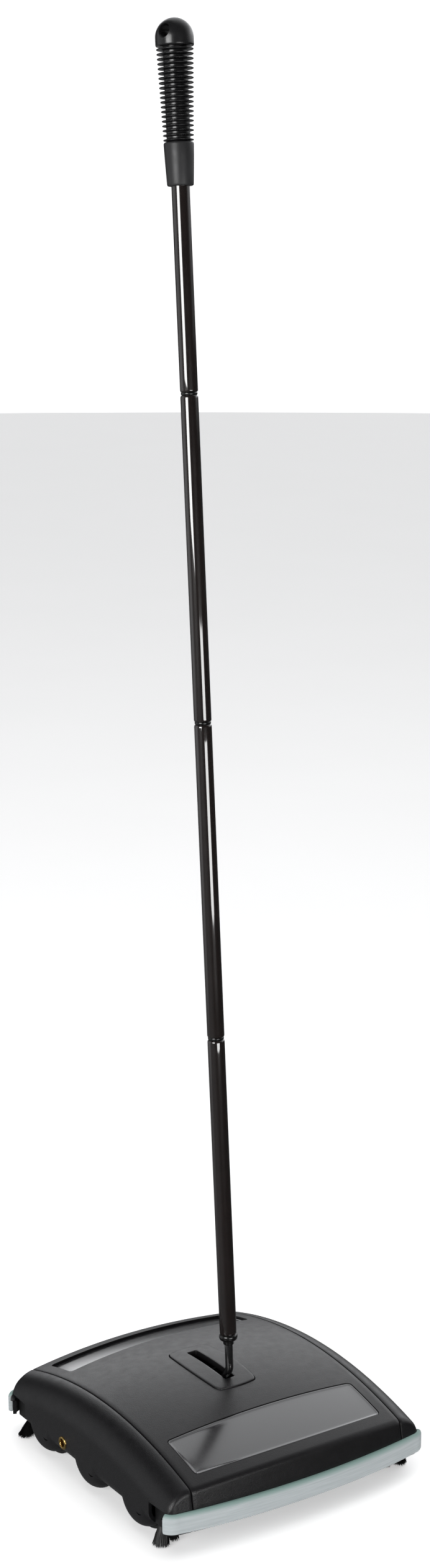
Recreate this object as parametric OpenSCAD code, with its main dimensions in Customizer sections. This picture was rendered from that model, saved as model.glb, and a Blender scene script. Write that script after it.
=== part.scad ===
// Push-along floor sweeper: a low wheeled housing with a rubber-bladed rotor between two
// dust pans, soft bumpers, a brush at each corner and a four-section upright handle.
// Millimetres. +Z is up, the front is -Y, and the floor under the middle is the origin.

/* [Housing] */
// Half width across the flat side plates
side_x = 118; // [100:0.5:130]
// Distance from the middle to each seam between centre cover and end housing
seam_x = 97; // [80:0.5:110]
// Height of the top of the arch over the floor
crest_z = 74.6; // [60:0.1:90]
// Radius of the arch from front to rear
arch_r = 363; // [250:1:600]
// Radius of the slight crown from side to side
crown_r = 731; // [400:1:1500]
// Radius of the rounded shoulder above each side plate
shoulder_r = 22.5; // [10:0.5:30]
// Thickness of the moulded walls
wall = 3.2; // [2:0.1:5]
// Distance from the middle to the foot of the front face, just over the bumper
face_y = 127.9; // [110:0.1:140]
// Radius of the bow of the front face in plan
bow_r = 690; // [400:1:1200]
// How far the front face leans in for each millimetre of height
face_rake = 0.19; // [0:0.01:0.4]
// Radius of the rounding along the ridge
ridge_round = 6; // [4:0.5:12]
// Radius of the housing's corners in plan
corner_r = 9.2; // [6:0.1:20]
// Height of the housing's lower edge above the bumpers
skirt_z = 34.7; // [25:0.1:50]

/* [Windows] */
// Half width of both windows
window_x = 86; // [60:0.5:92]
// Front window: distance from the middle to its inner edge
front_window_in = 67.5; // [50:0.5:80]
// Front window: distance from the middle to its outer corners
front_window_out = 107.5; // [90:0.5:112]
// Rear window: distance from the middle to its inner corners
rear_window_in = 73.5; // [50:0.5:90]
// Rear window: distance from the middle to its outer corners
rear_window_out = 106; // [90:0.5:112]
// How far the bowed window edges swell at the middle
window_bow = 5.5; // [0:0.5:8]

/* [Bumpers] */
// Thickness of the soft bumper in front of the housing
bumper_t = 5; // [3:0.5:10]
// Height of the bumper's lower edge over the floor
bumper_z = 19; // [12:0.5:25]

/* [Running gear] */
// Height of the wheel, roller and rotor axes over the floor
axis_z = 26.6; // [20:0.1:35]
// Distance from the rotor axis to each wheel axle
wheel_y = 69.4; // [60:0.1:80]
// Wheel radius over the tyre
wheel_r = 26.6; // [20:0.1:35]
// Distance from the rotor axis to each friction roller
roller_y = 33; // [25:0.1:45]
// Friction roller radius
roller_r = 9.5; // [6:0.1:14]
// Friction drum radius at the rotor's ends
drum_r = 23.2; // [15:0.1:25]
// Rotor radius over the rubber blades
rotor_r = 25.8; // [20:0.1:30]
// Radius of the lobes that cover the wheels and the rotor's ends
lobe_r = 23.9; // [18:0.1:30]
// Half length of the rotor blades
blade_x = 84; // [60:1:90]

/* [Handle] */
// Height of the handle's pivot
pivot_z = 46.5; // [40:0.1:55]
// Backward lean of the upright handle
lean = 4.15; // [0:0.05:10]
// Distance between the joints of the handle
section = 244.1; // [200:0.1:300]
// Radius of the handle tubes
tube_r = 6.65; // [5:0.05:10]
// Radius of the bent steel rod at the handle's foot
rod_r = 3.2; // [2:0.1:5]
// Direction that the hanging hole faces, turned from the front
hole_turn = -68; // [-90:1:90]

/* [Hidden] */
$fn = 64;
seam_gap = 0.35;
curl_r = 12.2;
lean_foot_y = -23.8;
lean_foot_z = 105.4;
bail_angle = 36;
bail_arm = 15.5;
bail_x = 89.5;
bail_r = 3;
plate_in = 93.2;
plate_out = 95.2;
wheel_in = 96.2;
wheel_out = 104.8;
axle_r = 3;
shaft_r = 4;
fit = 0.06;
pan_x = 90;
pan_wall = 1.2;
pan_hinge_y = 113.5;
pan_hinge_z = 25;
hinge_rod_r = 2;
wall_foot = 17;
notch_y = 92.7;
grip_s = 880.8;
pin_z = 27;

shell_dark = [0.20, 0.20, 0.21];
shell_black = [0.07, 0.07, 0.08];
vinyl_grey = [0.80, 0.82, 0.82];
smoke = [0.55, 0.56, 0.58, 0.6];
steel = [0.62, 0.63, 0.65];
brass = [0.80, 0.64, 0.32];
rubber_black = [0.05, 0.05, 0.05];

// ---- Form of the housing ------------------------------------------------------------

// The shoulder takes over from the crown where their slopes agree
shoulder_x = side_x - shoulder_r;
tangent_x = shoulder_x * crown_r / (crown_r - shoulder_r);
corner_x = side_x + 0.3 - corner_r;

// Height of the crowned top at width x
function crown(x) = crest_z - x * x / (2 * crown_r);

// Height of the housing's surface, inset by t
function top_z(x, y, t) =
    let(a = abs(x), fall = y * y / (2 * arch_r))
    let(zc = crown(tangent_x) - shoulder_r * cos(asin(tangent_x / crown_r)))
    let(r = shoulder_r - t, d = min(a - shoulder_x, r))
    (a <= tangent_x - t * 0.13 ? crown(x) - t : zc + sqrt(max(r * r - d * d, 0))) - fall;

// Distance from the middle to the foot of the front face at width x, inset by t
function face_q(x, t) =
    let(a = abs(x), bow = face_y - a * a / (2 * bow_r))
    let(cy = face_y - corner_x * corner_x / (2 * bow_r) - corner_r)
    let(r = corner_r - t, d = min(a - corner_x, r))
    a <= corner_x ? bow - t : cy + sqrt(max(r * r - d * d, 0));

// Ridge where the raked face meets the top, as distance and height
function ridge_q(x, t) =
    let(q0 = face_q(x, t), z0 = top_z(x, q0, t), q1 = q0 - face_rake * max(z0 - skirt_z, 0))
    q0 - face_rake * max(top_z(x, q1, t) - skirt_z, 0);

// Rounded ridge, from the front face up to the top
function ridge_arc(x, t, n) =
    let(q = ridge_q(x, t), c = [q, top_z(x, q, t)])
    let(u = [q - 1, top_z(x, q - 1, t)] - c, v = [face_rake, -1])
    let(u1 = u / norm(u), v1 = v / norm(v), r = max(ridge_round - t, 1))
    let(half = acos(u1 * v1) / 2, mid = (u1 + v1) / norm(u1 + v1))
    let(o = c + mid * r / sin(half), reach = r / tan(half))
    let(p1 = c + v1 * reach - o, p2 = c + u1 * reach - o)
    [for (k = [0:n]) let(w = p1 * (n - k) + p2 * k) o + w * r / norm(w)];

// Closed section of the housing at width x, as [y, z] points, inset by t
function section_loop(x, t, foot) =
    let(arc = ridge_arc(x, t, 4), end = arc[4][0])
    let(front = [for (p = arc) [-p[0], p[1]]], rear = [for (k = [4:-1:0]) arc[k]])
    let(over = [for (k = [1:19]) let(y = end * (k / 10 - 1)) [y, top_z(x, y, t)]])
    let(q = face_q(x, t))
    let(knee = min(skirt_z, arc[0][1] - 0.5))
    let(loop = concat([[-q, foot], [-q, knee]], front, over, rear, [[q, knee], [q, foot]]))
    [for (k = [len(loop) - 1:-1:0]) loop[k]];

// Solid through a row of sections standing at the widths xs
module loft(xs, loops) {
    m = len(loops[0]);
    n = len(xs);
    polyhedron(
        points = [for (i = [0:n - 1]) for (p = loops[i]) [xs[i], p[0], p[1]]],
        faces = concat(
            [[for (j = [0:m - 1]) j]],
            [for (i = [0:n - 2]) for (j = [0:m - 1]) for (s = [0, 1])
                let(a = i * m + j, b = i * m + (j + 1) % m)
                s == 0 ? [a, a + m, b] : [b, a + m, b + m]],
            [[for (j = [m - 1:-1:0]) (n - 1) * m + j]]
        ),
        convexity = 4
    );
}

// Centre part of the housing, filled, inset by t
module centre_solid(t, reach) {
    xs = [for (k = [-8:8]) reach * k / 8];
    loft(xs, [for (x = xs) section_loop(x, t, wall_foot - t * 2)]);
}

// End part of the housing, filled, inset by t
module end_solid(t, start) {
    last = side_x - t;
    turn = [for (a = [20:14:76]) shoulder_x + (shoulder_r - t) * sin(a)];
    xs = concat([start, tangent_x], turn, [last - 0.3, last]);
    loft(xs, [for (x = xs) section_loop(x, t, 2)]);
}

// Panel that follows the top, between two edges and two heights over the surface
module panel(half_x, q_in, q_out, above, below, bow_in, bow_out) {
    xs = [for (k = [-10:10]) half_x * k / 10];
    loft(xs, [for (x = xs)
        let(w = 1 - pow(x / half_x, 2), q0 = q_in + bow_in * w, q1 = q_out + bow_out * w)
        concat(
            [for (k = [0:4]) let(y = q0 + (q1 - q0) * k / 4) [y, top_z(x, y, 0) + above]],
            [for (k = [4:-1:0]) let(y = q0 + (q1 - q0) * k / 4) [y, top_z(x, y, 0) + below]]
        )
    ]);
}

// Upright opening for a pane, 0.2 mm clear of it all round
module pane_opening(q_in, q_out, bow_in, bow_out) {
    hx = window_x + 0.2;
    translate([0, 0, 40])
        linear_extrude(height = 50)
            polygon(concat(
                [for (k = [-10:10]) let(x = hx * k / 10)
                    [x, q_in - 0.2 + bow_in * (1 - pow(x / window_x, 2))]],
                [for (k = [10:-1:-10]) let(x = hx * k / 10)
                    [x, q_out + 0.2 + bow_out * (1 - pow(x / window_x, 2))]]
            ));
}

// Straight rod along X between two widths
module rod_x(x0, x1, y, z, r) {
    translate([min(x0, x1), y, z])
        rotate([0, 90, 0])
            cylinder(r = r, h = abs(x1 - x0));
}

// Ring along X between two widths
module ring_x(x0, x1, y, z, r, bore) {
    difference() {
        rod_x(x0, x1, y, z, r);
        rod_x(min(x0, x1) - 1, max(x0, x1) + 1, y, z, bore);
    }
}

module slot_prism(z0, h, g) {
    hx = 4.35 + g;
    translate([-hx, -26 - g, z0])
        cube([2 * hx, 55 + 2 * g, h]);
}

// ---- Housing ------------------------------------------------------------------------

// Lug on the cover that carries a pan's hinge rod
module hinge_lug(x) {
    rod_x(x, x + 4, pan_hinge_y, pan_hinge_z, 4);
    translate([x, pan_hinge_y, pan_hinge_z - 4])
        cube([4, face_q(x, wall) + 1 - pan_hinge_y, 8]);
}

module top_cover() {
    color(shell_dark)
        difference() {
            union() {
                difference() {
                    centre_solid(0, seam_x - seam_gap / 2);
                    centre_solid(wall, seam_x + 1);
                    mirror([0, 1, 0])
                        pane_opening(front_window_in, front_window_out, 0.5, window_bow);
                    pane_opening(rear_window_in, rear_window_out, window_bow, 4);
                    slot_prism(60, 30, 1.5);
                }
                for (m = [0, 1])
                    mirror([0, m, 0])
                        for (x = [-88, -68, 64, 84])
                            hinge_lug(x);
                for (sx = [-1, 1], sy = [-1, 1])
                    translate([sx * 89.6 - 3.5, sy * 58 - 4, 48])
                        cube([7, 8, top_z(93, 62, wall) + 1 - 48]);
            }
            for (m = [-1, 1]) {
                rod_x(-95, 95, m * pan_hinge_y, pan_hinge_z, hinge_rod_r);
                for (sx = [-1, 1])
                    rod_x(sx * 86, sx * 94, m * 58, 54, 1.5);
            }
        }
}

// Outside or inside of one lobe, inset by t
module lobe(y, t) {
    translate([0, y, axis_z])
        rotate([0, 90, 0])
            rotate_extrude() {
                translate([0, side_x - curl_r])
                    square([lobe_r - curl_r, curl_r - t]);
                intersection() {
                    translate([lobe_r - curl_r, side_x - curl_r])
                        circle(r = curl_r - t);
                    translate([0, side_x - curl_r])
                        square([lobe_r, curl_r + 1]);
                }
            }
}

// Side wall's inward curl, removed outside the quarter round
module curl_cut() {
    difference() {
        translate([side_x - curl_r, -notch_y, 0])
            cube([curl_r + 1, 2 * notch_y, axis_z]);
        translate([side_x - curl_r, -notch_y - 1, axis_z])
            rotate([-90, 0, 0])
                cylinder(r = curl_r, h = 2 * notch_y + 2);
        for (y = [-wheel_y, 0, wheel_y])
            lobe(y, 0);
    }
}

// Rounded lower lip of the side wall, between the lobes
module curl_lip() {
    intersection() {
        difference() {
            translate([side_x - curl_r, -notch_y, axis_z])
                rotate([-90, 0, 0])
                    cylinder(r = curl_r, h = 2 * notch_y);
            translate([side_x - curl_r, -notch_y - 1, axis_z])
                rotate([-90, 0, 0])
                    cylinder(r = curl_r - wall, h = 2 * notch_y + 2);
        }
        translate([side_x - curl_r, -notch_y, axis_z - curl_r])
            cube([curl_r, 2 * notch_y, curl_r]);
    }
}

// Walls of the right end housing without its lobes
module end_shell() {
    difference() {
        end_solid(0, seam_x + seam_gap / 2);
        difference() {
            end_solid(wall, seam_x - 1);
            for (s = [-1, 1])
                translate([plate_out, s > 0 ? notch_y + 2.8 : -notch_y - 42.8, skirt_z])
                    cube([30, 40, 2.4]);
        }
        translate([90, -notch_y, -1])
            cube([side_x - curl_r - 90, 2 * notch_y, axis_z - curl_r + 1]);
        translate([90, -notch_y, -1])
            cube([40, 2 * notch_y, axis_z - curl_r + 1]);
        curl_cut();
        for (m = [0, 1])
            mirror([0, m, 0]) {
                translate([90, notch_y, 0])
                    cube([40, 20.5, skirt_z]);
                translate([90, 110, 0])
                    cube([40, 30, wall_foot]);
            }
    }
}

// End housing on the right; the left one is the same turned half way round
module end_housing() {
    color(shell_black)
        difference() {
            union() {
                difference() {
                    union() {
                        end_shell();
                        curl_lip();
                        for (y = [-wheel_y, 0, wheel_y])
                            lobe(y, 0);
                    }
                    for (y = [-wheel_y, 0, wheel_y])
                        lobe(y, wall);
                }
                for (y = [-wheel_y, wheel_y])
                    rod_x(106, side_x - wall + 0.5, y, axis_z, 6);
                for (y = [-99, 99])
                    rod_x(plate_out, side_x - 5, y, 42, 3.5);
            }
            for (y = [-wheel_y, wheel_y])
                rod_x(100, side_x - wall, y, axis_z, axle_r);
            for (y = [-99, 99])
                rod_x(90, side_x - 12, y, 42, 1.5);
            rod_x(100, 130, -roller_y, pin_z, 3.9);
        }
}

module right_end_housing() {
    end_housing();
}

module left_end_housing() {
    rotate([0, 0, 180])
        end_housing();
}

// How far an edge of that plate bows out, k running from -9 to 9 along it
function bow(k) = 2.5 * (1 - pow(k / 9, 2));

// Bowed outline of the plate round the handle slot, with its corners cut off
module plate_outline() {
    polygon(concat(
        [for (k = [-8:8]) [18 + bow(k), 4 * k]],
        [for (k = [8:-1:-8]) [2 * k, 36 + bow(k)]],
        [for (k = [8:-1:-8]) [-18 - bow(k), 4 * k]],
        [for (k = [-8:8]) [2 * k, -36 - bow(k)]]
    ));
}

module slot_plate() {
    color(shell_dark)
        difference() {
            translate([0, 0, crest_z - 4])
                linear_extrude(height = 8)
                    plate_outline();
            rod_x(-30, 30, 0, crest_z - arch_r, arch_r + 0.03, $fn = 1440);
            difference() {
                translate([-30, -45, crest_z - 8])
                    cube([60, 90, 16]);
                rod_x(-31, 31, 0, crest_z - arch_r, arch_r + 1.2, $fn = 1440);
            }
            slot_prism(60, 30, 0);
        }
}

module front_window() {
    color(smoke)
        mirror([0, 1, 0])
            panel(window_x, front_window_in, front_window_out, -0.9, -2.9, 0.5, window_bow);
}

module rear_window() {
    color(smoke)
        panel(window_x, rear_window_in, rear_window_out, -0.9, -2.9, window_bow, 4);
}

// ---- Bumpers and brushes ------------------------------------------------------------

// Bumper outline in plan on the front, its outer side grown by t
function bumper_outer(t) =
    let(cy = face_q(corner_x, 0) - corner_r, r = corner_r + t * 0.72)
    concat(
        [for (a = [26:16:74]) [corner_x + r * cos(a), cy + r * sin(a)]],
        [for (k = [10:-1:-10]) let(x = corner_x * k / 10, b = t * (0.72 + 0.28 * (1 - pow(k / 10, 6))))
            [x, face_q(x, 0) + b]],
        [for (a = [106:16:154]) [-corner_x + r * cos(a), cy + r * sin(a)]]
    );

function bumper_inner() =
    let(cy = face_q(corner_x, 0) - corner_r, r = corner_r)
    concat(
        [for (a = [154:-16:106]) [-corner_x + r * cos(a), cy + r * sin(a)]],
        [for (k = [-10:10]) [corner_x * k / 10, face_q(corner_x * k / 10, 0)]],
        [for (a = [74:-16:26]) [corner_x + r * cos(a), cy + r * sin(a)]]
    );

module bumper() {
    color(vinyl_grey)
        for (layer = [[0, 1, 1.6], [1, 2, 0.5], [3, 9.7, 0], [12.7, 1.6, 0.6], [14.3, 1.4, 2]])
            translate([0, 0, bumper_z + layer[0]])
                linear_extrude(height = layer[1])
                    polygon(concat(bumper_outer(bumper_t - layer[2]), bumper_inner()));
}

module front_bumper() {
    mirror([0, 1, 0])
        bumper();
}

module rear_bumper() {
    bumper();
}

// Moulded block that holds the bristles at the rear right corner
module brush_block() {
    color(rubber_black)
        difference() {
            union() {
                translate([105.6, 93.2, 16])
                    cube([6.8, 18.8, skirt_z - 16]);
                translate([97.6, 97, 16])
                    cube([8.2, 15, skirt_z - 16]);
            }
            translate([109, 98, 10])
                cylinder(r = 2.2, h = 14);
            translate([101, 100, 10])
                cylinder(r = 1.8, h = 14);
        }
}

// Two tufts of bristle, spreading towards the floor
module bristles(out) {
    color(rubber_black) {
        translate([109, 98, 15])
            cylinder(r = 2.2, h = 9);
        translate([101, 100, 15])
            cylinder(r = 1.8, h = 9);
        hull() {
            translate([109, 98, 14])
                cylinder(r = 2.2, h = 2, $fn = 32);
            translate([104.8, 93 + out, 0.6])
                cube([13, 12.4, 0.6]);
        }
        hull() {
            translate([101, 100, 14])
                cylinder(r = 1.8, h = 2, $fn = 32);
            translate([95.2, 94, 0.6])
                cube([8.6, 8, 0.6]);
        }
    }
}

module front_left_brush_block() {
    rotate([0, 0, 180])
        brush_block();
}

module front_right_brush_block() {
    mirror([0, 1, 0])
        brush_block();
}

module rear_left_brush_block() {
    mirror([1, 0, 0])
        brush_block();
}

module rear_right_brush_block() {
    brush_block();
}

module front_left_bristles() {
    rotate([0, 0, 180])
        bristles(0);
}

module front_right_bristles() {
    mirror([0, 1, 0])
        bristles(0);
}

module rear_left_bristles() {
    mirror([1, 0, 0])
        bristles(6);
}

module rear_right_bristles() {
    bristles(6);
}

// ---- Chassis ------------------------------------------------------------------------

// Steel plate on the right that carries the axles, rotor and bail
module bearing_plate() {
    color(steel)
        difference() {
            translate([plate_in, 0, 0])
                rotate([90, 0, 90])
                    linear_extrude(height = plate_out - plate_in)
                        polygon([
                            [-104, 37], [-104, 46.5], [-84, 53], [-45, 60], [0, 63.5],
                            [45, 60], [84, 53], [104, 46.5], [104, 37], [84, 32],
                            [80, 17], [-80, 17], [-84, 32]
                        ]);
            rod_x(90, 100, 0, axis_z, 6.5);
            rod_x(90, 100, 0, pivot_z, 2.5 + fit);
            rod_x(90, 100, -roller_y, pin_z, 2);
            for (s = [-1, 1]) {
                rod_x(90, 100, s * wheel_y, axis_z, axle_r);
                rod_x(90, 100, s * 36, 52, 2.5);
                rod_x(90, 100, s * 58, 54, 1.5);
                rod_x(90, 100, s * 99, 42, 1.5);
            }
        }
}

module right_bearing_plate() {
    bearing_plate();
}

module left_bearing_plate() {
    rotate([0, 0, 180])
        bearing_plate();
}

module wheel_axles() {
    color(steel)
        for (sx = [-1, 1], sy = [-1, 1])
            rod_x(sx * plate_in, sx * (side_x - wall), sy * wheel_y, axis_z, axle_r);
}

module rotor_bushes() {
    color(brass)
        for (s = [-1, 1])
            ring_x(s * 92.2, s * 95.8, 0, axis_z, 6.5, shaft_r + fit);
}

module roller_pins() {
    color(steel)
        for (s = [-1, 1]) {
            rod_x(s * plate_in, s * 108, -s * roller_y, pin_z, 2);
            rod_x(s * 108, s * 113, -s * roller_y, pin_z, 3);
        }
}

// Flanged brass eyelet round the end of the roller pin
module brass_eyelet() {
    color(brass)
        difference() {
            union() {
                rod_x(110, side_x, -roller_y, pin_z, 3.9);
                rod_x(side_x, side_x + 1, -roller_y, pin_z, 5.35);
            }
            rod_x(105, 125, -roller_y, pin_z, 3);
        }
}

module right_brass_eyelet() {
    brass_eyelet();
}

module left_brass_eyelet() {
    rotate([0, 0, 180])
        brass_eyelet();
}

module front_pan_hinge_rod() {
    color(steel)
        rod_x(-90, 90, -pan_hinge_y, pan_hinge_z, hinge_rod_r);
}

module rear_pan_hinge_rod() {
    color(steel)
        rod_x(-90, 90, pan_hinge_y, pan_hinge_z, hinge_rod_r);
}

module pan_springs() {
    color(steel)
        for (sy = [-1, 1], sx = [-1, 1])
            translate([sx * 52, sy * pan_hinge_y, pan_hinge_z])
                rotate([0, 90, 0])
                    for (k = [-2:2])
                        translate([0, 0, k * 1.5])
                            rotate_extrude()
                                translate([hinge_rod_r + 0.75, 0])
                                    circle(r = 0.75, $fn = 24);
}

module cross_braces() {
    color(steel)
        for (s = [-1, 1])
            rod_x(-plate_out, plate_out, s * 36, 52, 2.5);
}

module housing_screws() {
    color(steel)
        for (sx = [-1, 1], sy = [-1, 1]) {
            rod_x(sx * 88, sx * plate_out, sy * 58, 54, 1.5);
            rod_x(sx * plate_out, sx * 96, sy * 58, 54, 3);
            rod_x(sx * plate_in, sx * 105, sy * 99, 42, 1.5);
            rod_x(sx * 91.6, sx * plate_in, sy * 99, 42, 3);
        }
}

// ---- Dust pans ----------------------------------------------------------------------

// Rear pan: a sheet tray with end walls and hinge knuckles
module dust_pan() {
    q_lip = 31;
    q_low = 37;
    q_out = 108.6;
    z_low = 10.5;
    z_top = 31;
    t = pan_wall;
    color(steel)
        difference() {
            union() {
                translate([-pan_x, 0, 0])
                    rotate([90, 0, 90])
                        linear_extrude(height = 2 * pan_x)
                            polygon([
                                [q_lip, 19], [q_low, z_low], [q_out, z_low], [q_out, z_top],
                                [q_out - t, z_top], [q_out - t, z_low + t],
                                [q_low + 0.6, z_low + t], [q_lip + 1.1, 19.6]
                            ]);
                for (x = [-pan_x, pan_x - t])
                    translate([x, 0, 0])
                        rotate([90, 0, 90])
                            linear_extrude(height = t)
                                polygon([
                                    [q_lip, 19], [q_low, z_low], [q_out, z_low],
                                    [q_out, z_top], [q_lip + 3, 24]
                                ]);
                for (x = [-81, 73]) {
                    rod_x(x, x + 8, pan_hinge_y, pan_hinge_z, 4);
                    translate([x, q_out - 0.1, pan_hinge_z - 4])
                        cube([8, 3, 3]);
                }
            }
            rod_x(-100, 100, pan_hinge_y, pan_hinge_z, hinge_rod_r + fit);
        }
}

module rear_dust_pan() {
    dust_pan();
}

module front_dust_pan() {
    mirror([0, 1, 0])
        dust_pan();
}

// ---- Rotor --------------------------------------------------------------------------

module rotor_shaft() {
    color(steel)
        rod_x(-105.4, 105.4, 0, axis_z, shaft_r);
}

module rotor_core() {
    color(shell_black)
        difference() {
            ring_x(-blade_x - 2, blade_x + 2, 0, axis_z, 9, shaft_r);
            for (k = [0:3])
                translate([0, 0, axis_z])
                    rotate([45 + 90 * k, 0, 0])
                        translate([-blade_x, -1, 6])
                            cube([2 * blade_x, 2, 10]);
        }
}

module rotor_blade(k) {
    color(rubber_black)
        translate([0, 0, axis_z])
            rotate([45 + 90 * k, 0, 0])
                translate([-blade_x, -1, 6])
                    cube([2 * blade_x, 2, rotor_r - 6]);
}

module rotor_blade_1() {
    rotor_blade(0);
}

module rotor_blade_2() {
    rotor_blade(1);
}

module rotor_blade_3() {
    rotor_blade(2);
}

module rotor_blade_4() {
    rotor_blade(3);
}

// Drum on the rotor's right end, driven by the roller on its rim
module friction_drum() {
    color(shell_black)
        translate([0, 0, axis_z])
            rotate([0, 90, 0])
                rotate_extrude($fn = 96)
                    polygon([
                        [shaft_r, wheel_in], [drum_r, wheel_in], [drum_r, wheel_out],
                        [drum_r - 3, wheel_out], [drum_r - 3, wheel_in + 2.5],
                        [8, wheel_in + 2.5], [8, wheel_out], [shaft_r, wheel_out]
                    ]);
}

module right_friction_drum() {
    friction_drum();
}

module left_friction_drum() {
    mirror([1, 0, 0])
        friction_drum();
}

// ---- Rollers and wheels -------------------------------------------------------------

// Rubber roller between drum and wheel on the right
module roller() {
    color(rubber_black)
        ring_x(wheel_in, wheel_out, -roller_y, pin_z, roller_r, 2 + fit);
}

module right_roller() {
    roller();
}

module left_roller() {
    rotate([0, 0, 180])
        roller();
}

module hub(sx, sy) {
    color(shell_black)
        translate([0, sy * wheel_y, axis_z])
            rotate([0, sx * 90, 0])
                rotate_extrude($fn = 96)
                    polygon([
                        [axle_r + fit, wheel_in], [wheel_r - 3, wheel_in],
                        [wheel_r - 3, wheel_out], [wheel_r - 6, wheel_out],
                        [wheel_r - 6, wheel_in + 2.5], [8, wheel_in + 2.5],
                        [8, wheel_out], [axle_r + fit, wheel_out]
                    ]);
}

module tyre(sx, sy) {
    color(rubber_black)
        ring_x(sx * wheel_in, sx * wheel_out, sy * wheel_y, axis_z, wheel_r, wheel_r - 3, $fn = 96);
}

module front_left_hub() {
    hub(-1, -1);
}

module front_right_hub() {
    hub(1, -1);
}

module rear_left_hub() {
    hub(-1, 1);
}

module rear_right_hub() {
    hub(1, 1);
}

module front_left_tyre() {
    tyre(-1, -1);
}

module front_right_tyre() {
    tyre(1, -1);
}

module rear_left_tyre() {
    tyre(-1, 1);
}

module rear_right_tyre() {
    tyre(1, 1);
}

// ---- Handle -------------------------------------------------------------------------

// Frame of the leaning handle: Z runs up the tubes from their foot
module along_handle() {
    translate([0, lean_foot_y, lean_foot_z])
        rotate([-lean, 0, 0])
            children();
}

// Bent wire bail: a yoke under the cover and a rod up through the slot
module bail() {
    bend = (lean_foot_z - 23.8 - pivot_z) / cos(bail_angle);
    color(steel) {
        translate([0, 0, pivot_z])
            rotate([bail_angle, 0, 0]) {
                for (s = [-1, 1]) {
                    translate([s * bail_x, 0, 0])
                        cylinder(r = bail_r, h = bail_arm);
                    translate([s * bail_x, 0, 0])
                        sphere(r = bail_r);
                    translate([s * bail_x, 0, bail_arm])
                        sphere(r = bail_r);
                }
                rod_x(-bail_x, bail_x, 0, bail_arm, bail_r);
                translate([0, 0, bail_arm])
                    cylinder(r = rod_r, h = bend - bail_arm);
                translate([0, 0, bend])
                    sphere(r = rod_r);
            }
        for (s = [-1, 1])
            rod_x(s * bail_x, s * 95.6, 0, pivot_z, 2.5);
        along_handle()
            translate([0, 0, -23.86])
                cylinder(r = rod_r, h = 23.86 + 28);
    }
}

module handle_ferrule() {
    color(shell_black)
        along_handle()
            rotate_extrude()
                polygon([
                    [rod_r, -3.2], [4.25, -3.2], [4.25, 0.4], [6.7, 0.8], [7.3, 2],
                    [7.3, 4.2], [6.7, 5.5], [5.6, 5.5], [5.6, 30], [rod_r, 30]
                ]);
}

// One painted tube; k counts up from the foot
module handle_tube(k) {
    s0 = k == 1 ? 5.6 : section * (k - 1) + 1.2;
    s1 = section * k - 1.2;
    color(shell_dark)
        along_handle()
            rotate_extrude()
                polygon([
                    [5.65, s0], [6.2, s0], [6.5, s0 + 0.5], [tube_r, s0 + 1.4],
                    [tube_r, s1 - 1.6], [6.45, s1 - 0.6], [6.1, s1], [5.65, s1]
                ]);
}

module handle_tube_1() {
    handle_tube(1);
}

module handle_tube_2() {
    handle_tube(2);
}

module handle_tube_3() {
    handle_tube(3);
}

module handle_tube_4() {
    handle_tube(4);
}

// Plug that joins two tubes, with a narrow collar showing between them
module handle_joint(k) {
    color(shell_black)
        along_handle()
            translate([0, 0, section * k])
                rotate_extrude()
                    polygon([
                        [0, -26], [5, -26], [5.6, -24], [5.6, -1.15], [6.15, -1.15],
                        [6.15, 1.15], [5.6, 1.15], [5.6, 24], [5, 26], [0, 26]
                    ]);
}

module handle_joint_1() {
    handle_joint(1);
}

module handle_joint_2() {
    handle_joint(2);
}

module handle_joint_3() {
    handle_joint(3);
}

module grip_collar() {
    color(shell_dark)
        along_handle()
            translate([0, 0, grip_s])
                rotate_extrude()
                    polygon([
                        [6.7, 0], [8.9, 0], [9.6, 0.6], [9.8, 1.6],
                        [11.05, 30], [10.6, 30.9], [6.7, 30.9]
                    ]);
}

// Ribbed grip with a domed end and a hanging hole
module grip() {
    ribs = 20;
    s0 = 31;
    pitch = 66.7 / ribs;
    color(shell_black)
        along_handle()
            translate([0, 0, grip_s])
                difference() {
                    rotate_extrude()
                        polygon(concat(
                            [[6.7, s0], [8.6, s0]],
                            [for (k = [0:ribs - 1]) for (c = [0:3])
                                let(z = s0 + 0.5 + pitch * k, r = 11.1 + 2.4 * k / (ribs - 1))
                                [c == 0 || c == 3 ? 8.6 : r, z + (c < 2 ? 0 : 1.7)]],
                            [[8.6, 97.7], [13.2, 97.7], [13.95, 98.6]],
                            [for (a = [0:10:80]) [13.95 * cos(a), 104.2 + 13.7 * sin(a)]],
                            [[0, 117.9], [0, 95.6], [6.7, 95.6]]
                        ));
                    translate([0, 0, 108.4])
                        rotate([90, 0, hole_turn])
                            translate([0, 0, -20])
                                cylinder(r = 4.3, h = 40);
                }
}

top_cover();
left_end_housing();
right_end_housing();
slot_plate();
front_window();
rear_window();
front_bumper();
rear_bumper();
front_left_brush_block();
front_right_brush_block();
rear_left_brush_block();
rear_right_brush_block();
front_left_bristles();
front_right_bristles();
rear_left_bristles();
rear_right_bristles();
left_bearing_plate();
right_bearing_plate();
wheel_axles();
rotor_bushes();
roller_pins();
left_brass_eyelet();
right_brass_eyelet();
front_pan_hinge_rod();
rear_pan_hinge_rod();
pan_springs();
cross_braces();
housing_screws();
front_dust_pan();
rear_dust_pan();
rotor_shaft();
rotor_core();
rotor_blade_1();
rotor_blade_2();
rotor_blade_3();
rotor_blade_4();
left_friction_drum();
right_friction_drum();
left_roller();
right_roller();
front_left_hub();
front_left_tyre();
front_right_hub();
front_right_tyre();
rear_left_hub();
rear_left_tyre();
rear_right_hub();
rear_right_tyre();
bail();
handle_ferrule();
handle_tube_1();
handle_tube_2();
handle_tube_3();
handle_tube_4();
handle_joint_1();
handle_joint_2();
handle_joint_3();
grip_collar();
grip();
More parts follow.
